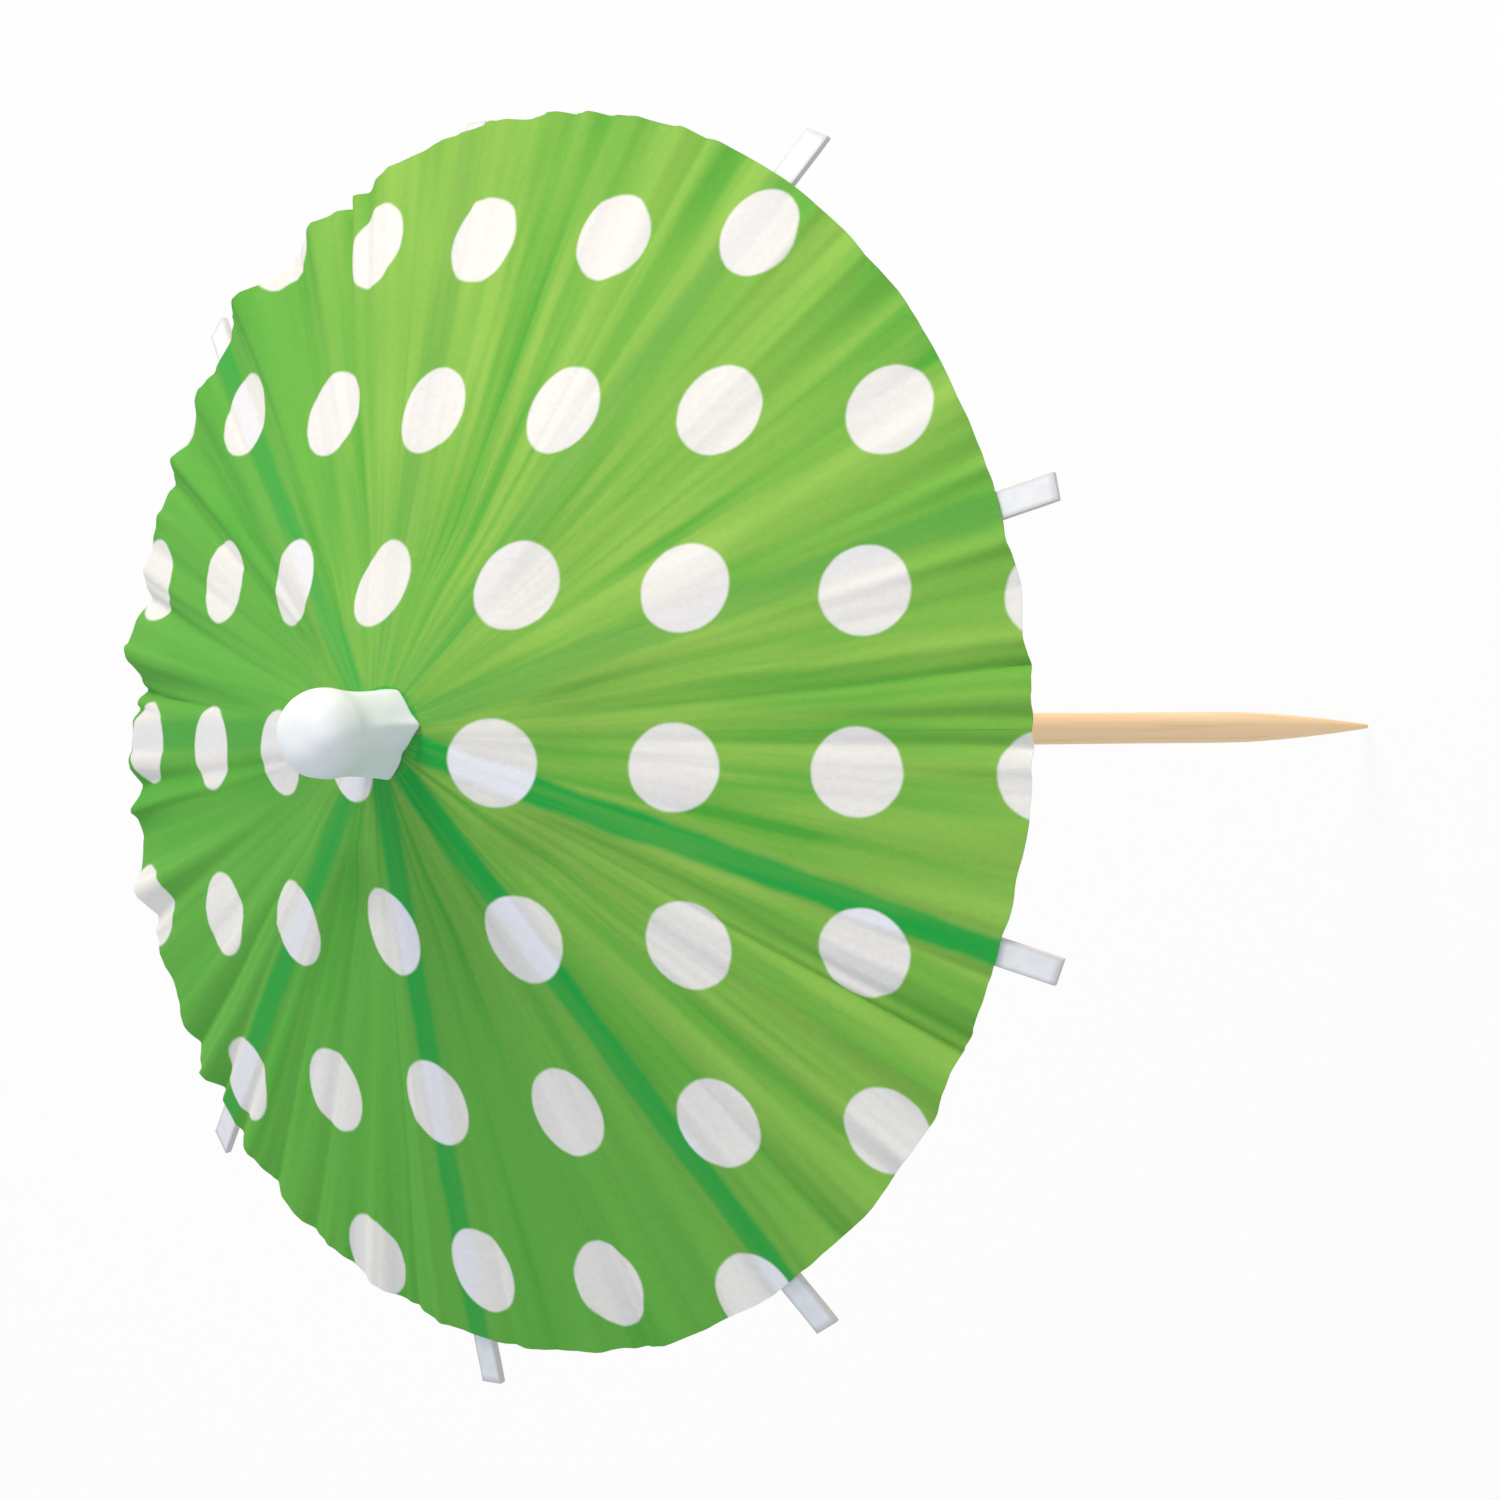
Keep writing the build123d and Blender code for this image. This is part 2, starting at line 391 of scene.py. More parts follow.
# %% [markdown]
# ## Bleached card
# Ribs, struts, hub and collar are stamped out of thin white card. Bleached card is matt, a little uneven in
# tone from its pulp, and its cut edges show the greyer middle of the board; a thin band of painted shade
# along them darkens them more and runs a little onto the faces. A noise at the size of the pulp's clumps
# gives the tone, and a finer one the tooth that is felt more than seen.

# %% Card
PULP_MM = 0.9
TOOTH_MM = 0.12
TOOTH_DEPTH = 0.03 * MM
CUT_EDGE_SHOWS = 0.6


def clouds(add, tones, *noises):
    """A tone that follows the first noise, and the noises, each from its size in mm and its detail."""
    place = add(COORDINATES).outputs["Object"]
    made = []
    for size_mm, detail in noises:
        made.append(add(NOISE, {"Vector": place, "Scale": 1 / (size_mm * MM), "Detail": detail}))
    return add(MIX, {0: made[0], 6: linear(tones[0]), 7: linear(tones[1])}, **RGBA).outputs[2], *made


def bleached_card(add):
    """White stamped card."""
    # To the eye: a cool, cloudy white without gloss, with edges a shade darker than the faces, partly from
    # painted shade.
    tone, pulp, tooth = clouds(add, ("#DADCE2", "#F1F2F4"), (PULP_MM, 5.0), (TOOTH_MM, 3.0))
    # Painted shade: the cut edges are darkened, partly for the card's grey core, partly as painted shade
    # that runs a little onto the faces.
    cut = add(ATTRIBUTE, attribute_name="cut_edge").outputs["Fac"]
    cut = add(MATH, (cut, CUT_EDGE_SHOWS), **TIMES)
    tone = add(MIX, {0: cut, 6: tone, 7: linear("#B9B0A8")}, **RGBA).outputs[2]
    bump = add(BUMP, {"Height": tooth, "Strength": 0.3, "Distance": TOOTH_DEPTH})
    matt = {"Roughness": 0.78, "Specular IOR Level": 0.3}
    return add(PRINCIPLED, {"Base Color": tone, "Normal": bump, **matt})


white_card = new_material("bleached_card_stamped", bleached_card)
print("card: pulp clumps of", PULP_MM, "mm")

# %% [markdown]
# ## Birch
# The stick is turned birch, sanded but not varnished. Its grain runs along the stick as fine streaks, with
# a few darker fibres. Object coordinates stretched along Z give streaks that run the right way without any
# unwrapping.

# %% Birch wood
# The vessels of birch are about 0.08 mm wide, too fine to show, so the grain is drawn coarser.
GRAIN_MM = 0.28
GRAIN_LENGTH_MM = 16.0
GRAINS_TO_A_BAND = 3
DARK_FIBRES = (0.47, 0.3, 0.0, 0.3)
GRAIN_DEPTH = 0.05 * MM


def birch(add):
    """Turned and sanded birch."""
    # To the eye: pale and warm, with a dull sheen and thin darker threads along the stick.
    place = add(COORDINATES).outputs["Object"]
    stretch = (1 / (GRAIN_MM * MM), 1 / (GRAIN_MM * MM), 1 / (GRAIN_LENGTH_MM * MM))
    wider = [scale / GRAINS_TO_A_BAND for scale in stretch]
    fine = add("ShaderNodeMapping", {"Vector": place, "Scale": stretch})
    wide = add("ShaderNodeMapping", {"Vector": place, "Scale": wider})
    fibres = add(NOISE, {"Vector": fine, "Scale": 1.0, "Detail": 4.0, "Roughness": 0.6})
    bands = add(NOISE, {"Vector": wide, "Scale": 1.0, "Detail": 2.0})
    tone = add(MIX, {0: bands, 6: linear("#F2C294"), 7: linear("#FDDDB0")}, **RGBA).outputs[2]
    thread = add(RANGE, (fibres, *DARK_FIBRES))
    tone = add(MIX, {0: thread, 6: tone, 7: linear("#C4925F")}, **RGBA).outputs[2]
    bump = add(BUMP, {"Height": fibres, "Strength": 0.35, "Distance": GRAIN_DEPTH})
    dull = {"Roughness": 0.58, "Specular IOR Level": 0.35}
    return add(PRINCIPLED, {"Base Color": tone, "Normal": bump, **dull})


wood = new_material("birch_turned_and_sanded", birch)
print("birch: grain", GRAIN_MM, "mm wide,", GRAIN_LENGTH_MM, "mm long")

# %% [markdown]
# ## Polythene, newsprint and vinyl
# The cap is moulded white polythene, the runner is rolled out of waste newsprint, and the ring is a slice
# of clear vinyl tube. Each could be one plain colour, but then they would look like the same plastic, so
# each gets the clouds, flecks or haze that its making leaves.

# %% Cap, runner and ring finishes
POLYTHENE_CLOUD_MM = 1.6
POLYTHENE_GRAIN_MM = 0.2
POLYTHENE_GRAIN_DEPTH = 0.03 * MM
POLYTHENE_ROUGHNESS = (0.0, 1.0, 0.38, 0.56)
LIGHT_INTO_POLYTHENE = 0.4 * MM
FLECK_MM = 0.35
FLECKS = (0.42, 0.27, 0.0, 0.7)
FLECK_DEPTH = 0.04 * MM
NEWSPRINT_CLOUD_MM = 4.0
VINYL_HAZE_MM = 0.8
VINYL_ROUGHNESS = (0.0, 1.0, 0.12, 0.3)


def polythene(add):
    """Moulded white polythene."""
    # To the eye: waxy, a little see-through at thin edges, with a soft gloss that comes and goes.
    noises = (POLYTHENE_CLOUD_MM, 3.0), (POLYTHENE_GRAIN_MM, 2.0)
    tone, cloud, grain = clouds(add, ("#DEE2E7", "#EBECEC"), *noises)
    rough = add(RANGE, (cloud, *POLYTHENE_ROUGHNESS))
    bump = add(BUMP, {"Height": grain, "Strength": 0.15, "Distance": POLYTHENE_GRAIN_DEPTH})
    waxy = {"IOR": 1.5, "Subsurface Weight": 0.12, "Subsurface Radius": (1.0, 1.0, 1.0)}
    waxy["Subsurface Scale"] = LIGHT_INTO_POLYTHENE
    return add(PRINCIPLED, {"Base Color": tone, "Roughness": rough, "Normal": bump, **waxy})


def newsprint(add):
    """Rolled waste newsprint, with nothing printed on it."""
    # To the eye: grey, dusty and flecked, with no gloss at all.
    noises = (NEWSPRINT_CLOUD_MM, 2.0), (FLECK_MM, 5.0)
    tone, cloud, fleck = clouds(add, ("#B9B2A4", "#D9D3C6"), *noises)
    speck = add(RANGE, (fleck, *FLECKS))
    tone = add(MIX, {0: speck, 6: tone, 7: linear("#8A857C")}, **RGBA).outputs[2]
    bump = add(BUMP, {"Height": fleck, "Strength": 0.3, "Distance": FLECK_DEPTH})
    dusty = {"Roughness": 0.85, "Specular IOR Level": 0.2}
    return add(PRINCIPLED, {"Base Color": tone, "Normal": bump, **dusty})


def vinyl(add):
    """Clear soft vinyl, cut from a tube."""
    # To the eye: a clear ring with a slight haze, bright along its edges.
    tone, haze = clouds(add, ("#DCE6E6", "#F1F5F4"), (VINYL_HAZE_MM, 3.0))
    rough = add(RANGE, (haze, *VINYL_ROUGHNESS))
    clear = {"IOR": 1.53, "Transmission Weight": 0.75}
    return add(PRINCIPLED, {"Base Color": tone, "Roughness": rough, **clear})


white_polythene = new_material("white_polythene_moulded", polythene)
waste_paper = new_material("newsprint_rolled", newsprint)
clear_vinyl = new_material("clear_vinyl_cut_from_tube", vinyl)
print("finishes:", ", ".join(finish.name for finish in (white_polythene, waste_paper, clear_vinyl)))

# %% [markdown]
# ## Pleats
# On the real umbrella the canopy is one flat paper disc, crinkled into a shallow cone and glued along the
# ribs. A cone has less rim than the flat disc, so the spare paper stands up in fine pleats, and between two
# ribs the sheet sags a little. The pleats of a sine wave would all be alike, so a Voronoi texture cuts the
# circle into cells of uneven width. The distance from a cell's middle gives ridges and valleys, which grow
# towards the rim and die out where the paper is glued down.

# %% How far the pleats lift the paper
PLEATS_PER_GORE = 6.5
PLEAT_DEPTH = 0.22 * MM
# Large pleats and finer ones on them: how much finer, and their share of the depth.
PLEAT_SIZES = ((1.0, 1.0), (2.3, 0.25))
# Pleats change round the cone and drift as they run outwards, so no two are alike.
PLEAT_CHANGES = [6.0] * 3
PLEAT_DRIFT_PER_M = 30.0
PLEAT_WANDER = 0.9
PLEAT_STRENGTH = (0.35, 0.7, 0.2, 1.3)
# Near a rough rim the pleats grow faster: powers of the share of the slant, and their weights.
RIM_GROWTH = ((3.0, 1.3), (9.0, 1.6))
GLUED = 0.85 * MM
LOOSENING = 1.1 * MM
# The last tenth before the fold half way between two ribs lies flat, so that neighbours meet.
FOLD_STRIP = (0.9, 1.0, 1.0, 0.0)
# The sag, as a share of the way that is left to the rim, and the slants at which it begins and is full.
SAG = 0.0203
SAG_SLANT = (8.0 * MM, 13.5 * MM)


def pleat_lift(add, size, share_round, azimuth, round_place, slant, away, rough):
    """The height over the plain cone, the ridges alone, and where the paper is loose from its rib."""
    drift = add(MATH, (slant, PLEAT_DRIFT_PER_M), **TIMES)
    drift = add(COMBINE, {"Z": drift})
    uneven = add(VECTOR, (round_place, PLEAT_CHANGES, drift), **TIMES_PLUS)
    wander = add(NOISE, {"Vector": uneven, "Scale": 1.0, "Detail": 2.0})
    count = add(MATH, (azimuth, size["Pleats"]), **TIMES)
    count = add(MATH, (wander, PLEAT_WANDER, count), **TIMES_PLUS)
    ridge = None
    for finer, part in PLEAT_SIZES:
        cell = add(MATH, (count, finer), **TIMES)
        uneven_widths = {"W": cell, "Scale": 1.0, "Smoothness": 0.12, "Randomness": 1.0}
        cells = add("ShaderNodeTexVoronoi", uneven_widths, voronoi_dimensions="1D", feature="SMOOTH_F1")
        height = add(RANGE, (cells, 0.0, 0.6, -part, part), clamp=False)
        ridge = add(MATH, (ridge, height), **PLUS) if ridge else height

    strength = add(NOISE, {"Vector": uneven, "Scale": 0.7, "Detail": 1.0})
    strength = add(RANGE, (strength, *PLEAT_STRENGTH))
    loose = add(RANGE, (away, GLUED, GLUED + LOOSENING), **SMOOTH)
    folded = add(RANGE, (share_round, *FOLD_STRIP), **SMOOTH)
    spread = add(MATH, (slant, size["Outer"]), operation="DIVIDE")
    growth = add(MATH, (spread, spread), **TIMES)
    for power, weight in RIM_GROWTH:
        extra = add(MATH, (spread, power), operation="POWER")
        extra = add(MATH, (extra, rough), **TIMES)
        growth = add(MATH, (extra, weight, growth), **TIMES_PLUS)
    lift = ridge
    for factor in (strength, loose, folded, growth, size["Depth"]):
        lift = add(MATH, (lift, factor), **TIMES)

    # The paper sags between two ribs: not yet near the crown, most half way out, and no more at the rim.
    sink = add(MATH, (size["Outer"], slant), **MINUS, use_clamp=True)
    past_crown = add(RANGE, (slant, *SAG_SLANT), **SMOOTH)
    slack = add(RANGE, (share_round,), **SMOOTH)
    for factor in (size["Sag"], past_crown, slack, loose):
        sink = add(MATH, (sink, factor), **TIMES)
    return add(MATH, (lift, sink), **MINUS), ridge, loose


print("pleats:", PLEATS_PER_GORE * rib_count, "round the cone")

# %% [markdown]
# ## The canopy's rule
# The canopy follows a rule, so a Geometry Nodes tree makes it: a grid is bent onto the cone and lifted into
# its pleats. The rim was cut by hand, so its slant varies a little, more on one side than on the other.
# The paper folds along each rib and half way between two ribs, so it is cut into pieces there, two to a
# rib. All pieces come from this one rule and share their edges, so at rest they are one unbroken sheet.

# %% The canopy's node tree
TRIM = 2.2 * MM
TRIM_CHANGES = 6.0
TRIM_MIDDLE = 0.55
CREASE_VALLEYS = (-0.6, -1.2)
PRINT_TURN = math.radians(21.7)
MERGE = 0.002 * MM


def canopy(add, size):
    """A stretch of the pleated cone between two slants and two azimuths."""
    steps = {"Vertices X": size["Steps out"], "Vertices Y": size["Steps round"]}
    sheet = add("GeometryNodeMeshGrid", {"Size X": 1.0, "Size Y": 1.0, **steps})
    place = add("GeometryNodeInputPosition")
    share = add(VECTOR, (place, (0.5, 0.5, 0.0)), **PLUS)
    share = add(SEPARATE, (share,)).outputs
    turn = add(MATH, (share["Y"], size["Arc"]), **TIMES)
    azimuth = add(MATH, (turn, size["Start"]), **PLUS)
    round_place = add(ROTATE, {"Vector": (1.0, 0.0, 0.0), "Angle": azimuth}, **ABOUT_Z)

    # The hand-cut rim, the place between crown and rim, and the distance from the rib.
    rough = add(RANGE, (share["Y"], 0.0, 1.0, size["Rough at rib"], size["Rough at fold"]))
    trim = add(NOISE, {"Vector": round_place, "Scale": TRIM_CHANGES, "Detail": 2.0})
    trim = add(MATH, (trim, TRIM_MIDDLE), **MINUS)
    trim = add(MATH, (trim, rough), **TIMES)
    outer = add(MATH, (trim, size["Trim"], size["Outer"]), **TIMES_PLUS)
    slant = add(RANGE, (share["X"], 0.0, 1.0, size["Inner"], outer))
    from_rib = add(MATH, (azimuth, half_gore), operation="PINGPONG")
    away = add(MATH, (from_rib,), operation="SINE")
    away = add(MATH, (away, slant), **TIMES)
    lift, ridge, loose = pleat_lift(add, size, share["Y"], azimuth, round_place, slant, away, rough)

    # What the paper's finish reads: the place on the flat sheet, the distance from the rib, the creases,
    # where shade is painted, and how strongly each rib's stripe of glue and painted shadow shows.
    print_turn = add(MATH, (azimuth, PRINT_TURN), **PLUS)
    slant_mm = add(MATH, (slant, 1 / MM), **TIMES)
    flat = add(COMBINE, {"X": slant_mm})
    flat = add(ROTATE, {"Vector": flat, "Angle": print_turn}, **ABOUT_Z)
    away_mm = add(MATH, (away, 1 / MM), **TIMES)
    # Painted shade: the pleat valleys, which the finish paints darker.
    valley = add(RANGE, (ridge, *CREASE_VALLEYS))
    valley = add(MATH, (valley, loose), **TIMES)
    for label, field, kind, domain in (
        ("flat", flat, "FLOAT2", "CORNER"),
        ("rib_offset", away_mm, "FLOAT", "POINT"),
        ("crease", valley, "FLOAT", "POINT"),
        ("glue", size["Glue"], "FLOAT", "POINT"),
    ):
        stored = {"Geometry": sheet, "Name": label, "Value": field}
        sheet = add("GeometryNodeStoreNamedAttribute", stored, data_type=kind, domain=domain)

    # Bend the grid onto the cone: along the slope, up to the apex, and round the stick.
    spot = add(COMBINE, {"X": slant, "Z": lift})
    spot = add(ROTATE, {"Vector": spot, "Angle": slope}, **ABOUT_Y)
    spot = add(VECTOR, (spot, (0.0, 0.0, apex)), **PLUS)
    spot = add(ROTATE, {"Vector": spot, "Angle": azimuth}, **ABOUT_Z)
    sheet = add("GeometryNodeSetPosition", {"Geometry": sheet, "Position": spot})
    backwards = add("FunctionNodeCompare", (size["Arc"], 0.0), operation="LESS_THAN")
    sheet = add("GeometryNodeFlipFaces", {"Mesh": sheet, "Selection": backwards})
    sheet = add("GeometryNodeMergeByDistance", {"Geometry": sheet, "Distance": MERGE})
    return add("GeometryNodeSetShadeSmooth", {"Geometry": sheet})


canopy_sizes = {
    "Inner": 3 * MM, "Outer": rim_slant, "Start": 0.0, "Arc": half_gore,
    "Steps out": 120, "Steps round": 61, "Pleats": PLEATS_PER_GORE / (2 * half_gore),
    "Depth": PLEAT_DEPTH, "Sag": SAG, "Trim": TRIM, "Glue": 1.0, "Rough at rib": 1.0, "Rough at fold": 1.0,
}
pleated_paper = new_tree("pleated paper cone", canopy_sizes, canopy, tissue_front)
print("canopy: a tree of", len(pleated_paper.nodes), "nodes")

# %% [markdown]
# ## Paper pieces
# Each piece gets the thickness of the paper, with the bare back as its second finish.

# %% Make the paper pieces
PAPER = 0.1 * MM
PAPER_EDGE = math.radians(60)
# How strongly each rib's stripe of glue and painted shadow shows, set to follow the light on each rib, and
# how rough the rim was left near it, by the rib's number.
GLUE_SHOW = {1: 0.4, 2: 0.3, 3: 0.2, 4: 0.65, 5: 0.4, 6: 0.72, 7: 0.85, 8: 0.95, 9: 1.0}
RIM_ROUGH = {1: 0.4, 2: 0.1, 3: 0.4, 4: 1.0, 5: 1.0, 6: 0.8, 7: 0.12, 8: 0.4, 9: 0.75}


def thickened(piece):
    """The sheet with the paper's thickness, printed on its face and bare on its back."""
    piece.data.materials.append(tissue_back)
    solid = piece.modifiers.new("thickness", "SOLIDIFY")
    solid.thickness = PAPER
    solid.offset = 0.0
    solid.material_offset = 1
    settle(piece)
    piece.data.set_sharp_from_angle(angle=PAPER_EDGE)
    return piece


for number in range(1, rib_count + 1):
    azimuth = (number - 1) * 2 * half_gore
    for side, sign in (("left", 1), ("right", -1)):
        body = f"panel_{number}_{side}"
        neighbour = (number - 1 + sign) % rib_count + 1
        paper = grown(
            f"paper_{number}_{side}",
            pleated_paper,
            inner=crown_slant, start=azimuth, arc=sign * half_gore, glue=GLUE_SHOW[number],
            rough_at_rib=RIM_ROUGH[number],
            rough_at_fold=(RIM_ROUGH[number] + RIM_ROUGH[neighbour]) / 2,
        )
        thickened(paper)
        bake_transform(paper)
        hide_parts(body)

# The crown takes the stripes too, as painted shade round the foot of the cap.
crown = grown(
    "paper_crown",
    pleated_paper,
    inner=stick_radius / math.cos(slope), outer=crown_slant, arc=2 * math.pi,
    steps_out=8, steps_round=73, depth=0.0, sag=0.0, trim=0.0, glue=0.8,
)
thickened(crown)
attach(crown, "root")
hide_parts("canopy_crown")

# %% [markdown]
# ## Card ribs and struts
# Ribs and struts are strips of stamped card stars. Stamping leaves square ends, edges that are pressed a
# little round, and strips that are never quite straight. They repeat, so one tree makes them all: a block
# of small cells, waved by noise, creased where it folds, cut off askew at the tip, then swung into place.

# %% The card strip's node tree
WOBBLE = 0.12 * MM
WOBBLES_PER_MM = 0.09
TIP_SHARE = 0.9
PRESSED = (0.0, 0.5 * MM, 0.55)
# Shares of the width and of the length from which a point counts as cut edge.
CUT_SIDE = 0.45
CUT_END = 0.995


def stamped_strip(add, size):
    """A card strip from a crease outwards, at a slope under the horizontal and an azimuth."""
    extent = add(COMBINE, {"X": size["Length"], "Y": size["Width"], "Z": size["Thickness"]})
    steps = {"Vertices X": size["Steps"], "Vertices Y": 7, "Vertices Z": 3}
    strip = add("GeometryNodeMeshCube", {"Size": extent, **steps})
    place = add("GeometryNodeInputPosition")
    axes = add(SEPARATE, (place,)).outputs
    along = add(MATH, (axes["X"], size["Length"]), operation="DIVIDE")
    along = add(MATH, (along, 0.5), **PLUS)
    from_crease = add(MATH, (along, size["Length"]), **TIMES)

    # The wobble of a stamped edge, and the skew and droop of a tip that was cut off by hand.
    spot = add(COMBINE, {"X": from_crease, "Y": size["Seed"]})
    wobble = add(NOISE, {"Vector": spot, "Scale": WOBBLES_PER_MM / MM, "Detail": 3.0})
    wobble = add(MATH, (wobble, 0.5), **MINUS)
    aside = add(MATH, (wobble, WOBBLE, axes["Y"]), **TIMES_PLUS)
    tip = add(RANGE, (along, TIP_SHARE), **SMOOTH)
    skew = add(MATH, (axes["Y"], size["Askew"]), **TIMES)
    skew = add(MATH, (skew, tip), **TIMES)
    outward = add(MATH, (from_crease, skew), **PLUS)
    droop = add(MATH, (tip, size["Bend"]), **TIMES)
    level = add(MATH, (axes["Z"], droop), **MINUS)

    # The strip is pressed thin where it is creased.
    pressed = add(RANGE, (from_crease, *PRESSED), **SMOOTH)
    level = add(MATH, (level, pressed), **TIMES)
    spot = add(COMBINE, {"X": outward, "Y": aside, "Z": level})
    spot = add(ROTATE, {"Vector": spot, "Angle": size["Slope"]}, **ABOUT_Y)
    seat = add(COMBINE, {"X": size["Radius"], "Z": size["Height"]})
    spot = add(VECTOR, (spot, seat), **PLUS)
    spot = add(ROTATE, {"Vector": spot, "Angle": size["Azimuth"]}, **ABOUT_Z)

    # The cut edges, which show the grey middle of the card and take a band of painted shade.
    side = add(MATH, (axes["Y"],), operation="ABSOLUTE")
    side = add(MATH, (side, size["Width"]), operation="DIVIDE")
    side = add(MATH, (side, CUT_SIDE), operation="GREATER_THAN")
    end = add(MATH, (along, CUT_END), operation="GREATER_THAN")
    cut = add(MATH, (side, end), operation="MAXIMUM")
    stored = {"Geometry": strip, "Name": "cut_edge", "Value": cut}
    strip = add("GeometryNodeStoreNamedAttribute", stored, data_type="FLOAT", domain="POINT")
    return add("GeometryNodeSetPosition", {"Geometry": strip, "Position": spot})


strip_sizes = {
    "Length": 40 * MM, "Width": 1.6 * MM, "Thickness": card, "Steps": 81,
    "Radius": crease_radius, "Height": apex, "Slope": slope, "Azimuth": 0.0,
    "Askew": 0.0, "Bend": 0.0, "Seed": 0.0,
}
card_strip = new_tree("stamped card strip", strip_sizes, stamped_strip, white_card)
print("card strip: a tree of", len(card_strip.nodes), "nodes")

# %% [markdown]
# ## Ribs, struts, hub and collar
# The creases of the frame say where each strip starts and ends. No two tips were cut alike, so each rib
# takes its own skew, droop and wobble from its number. Hub and collar are plain stamped rings, which the
# frame already has, so they only get the card's finish.

# %% Make the ribs and struts
EDGE = 0.05 * MM
CARD_EDGE = math.radians(50)
TIP_ASKEW = 0.16
TIP_DROOP = 0.12 * MM
TIP_DROOP_VARIES = 0.1 * MM
# Steps from rib to rib, in radians, at which skew and droop come out different on each.
ASKEW_STEP = 2.4
DROOP_STEP = 1.7
SEED_STEP = 1.3
STRUT_SEED = 20
# Two ribs were cut off short, so that their ends stay under the paper.
CUT_SHORT = {3: 2.7 * MM, 5: 2.5 * MM}


def eased(piece):
    """The strip with its stamped edges pressed a little round."""
    bevel = piece.modifiers.new("edges", "BEVEL")
    bevel.width = EDGE
    bevel.segments = 2
    bevel.limit_method = "ANGLE"
    settle(piece)
    piece.data.shade_smooth()
    piece.data.set_sharp_from_angle(angle=CARD_EDGE)
    return piece


hub_crease = joints["canopy_fold"]["pos_m"]
rib_crease = joints["strut_1_crease"]["pos_m"]
runner_crease = joints["runner_crease"]["pos_m"]
rib_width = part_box("rib_1")[1].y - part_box("rib_1")[0].y
strut_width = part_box("strut_1")[1].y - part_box("strut_1")[0].y
rib_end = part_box("rib_1")[1].x - card / 2 * math.sin(slope)
rib_length = (rib_end - hub_crease[0]) / math.cos(slope)
strut_length = math.dist(rib_crease, runner_crease)
strut_slope = math.asin((rib_crease[2] - runner_crease[2]) / strut_length)
for number in range(1, rib_count + 1):
    azimuth = (number - 1) * 2 * half_gore
    rib = grown(
        f"card_rib_{number}",
        card_strip,
        length=rib_length - CUT_SHORT.get(number, 0.0),
        width=rib_width, radius=hub_crease[0], height=hub_crease[2], azimuth=azimuth,
        askew=TIP_ASKEW * math.sin(ASKEW_STEP * number),
        bend=TIP_DROOP + TIP_DROOP_VARIES * math.sin(DROOP_STEP * number),
        seed=SEED_STEP * number,
    )
    strut = grown(
        f"card_strut_{number}",
        card_strip,
        length=strut_length, width=strut_width, radius=runner_crease[0], height=runner_crease[2],
        slope=-strut_slope, azimuth=azimuth, steps=41, seed=STRUT_SEED + SEED_STEP * number,
    )
    for piece, body in ((rib, f"rib_{number}"), (strut, f"strut_{number}")):
        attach(eased(piece), body)
        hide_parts(body)
for disc in ("rib_hub", "runner_collar"):
    frame["nodes"][disc].data.materials.clear()
    frame["nodes"][disc].data.materials.append(white_card)
print("card: ribs", round(rib_length / MM, 1), "mm, struts", round(strut_length / MM, 1), "mm")

# %% [markdown]
# ## Turned pieces
# Stick, cap and ring are round, so one function turns an outline about the stick. It could be a Screw
# modifier, but the cap's skirt has corners and the stick's fibres stand proud, so each point of the turned
# shape is placed by its own small rule.

# %% Turn an outline about the stick
TURNED_EDGE = math.radians(55)


def turned(name, outline, steps, shape, material, closed=False):
    """A mesh through rings of (radius, height). shape(radius, height, angle) gives each point's place."""
    mesh = bpy.data.meshes.new(name)
    made = bmesh.new()
    rings = []
    for radius, height in outline:
        angles = [2 * math.pi * k / steps for k in range(steps)] if radius > 0 else [0.0]
        points = [shape(radius, height, angle) for angle in angles]
        places = [(r * math.cos(a), r * math.sin(a), z) for (r, z), a in zip(points, angles)]
        rings.append([made.verts.new(place) for place in places])
    pairs = list(zip(rings, rings[1:]))
    if closed:
        pairs.append((rings[-1], rings[0]))
    for low, high in pairs:
        for k in range(steps):
            around = ((low, k), (low, k + 1), (high, k + 1), (high, k))
            corners = [ring[step % len(ring)] for ring, step in around]
            made.faces.new(list(dict.fromkeys(corners)))
    bmesh.ops.recalc_face_normals(made, faces=made.faces)
    made.to_mesh(mesh)
    made.free()
    mesh.shade_smooth()
    mesh.set_sharp_from_angle(angle=TURNED_EDGE)
    mesh.materials.append(material)
    return new_piece(name, mesh)


print("turned edges stay sharp from", round(math.degrees(TURNED_EDGE)), "degrees")

# %% [markdown]
# ## The stick
# A cocktail stick is turned, then ground to a long point. The point is a little bellied, because the
# grinding wheel leaves more wood near the shaft. Noise that changes slowly along the stick gives the raised
# fibres of sanded birch.

# %% Make the stick
TAPER = 15.0 * MM
POINT_RADIUS = 0.14 * MM
POINT_HEIGHT = 0.02 * MM
BELLY = 1.6
FIBRE_RISE = 0.018 * MM
FIBRE_LENGTH = 9 * MM
FIBRES_ROUND = 1.9


def fibred(radius, height, angle):
    """The stick's surface with raised fibres."""
    along = height / FIBRE_LENGTH
    spot = Vector((FIBRES_ROUND * math.cos(angle), FIBRES_ROUND * math.sin(angle), along))
    rise = noise.noise(spot * 1.7) + 0.5 * noise.noise(spot * 4.1)
    return radius + FIBRE_RISE * rise * min(1.0, radius / stick_radius), height


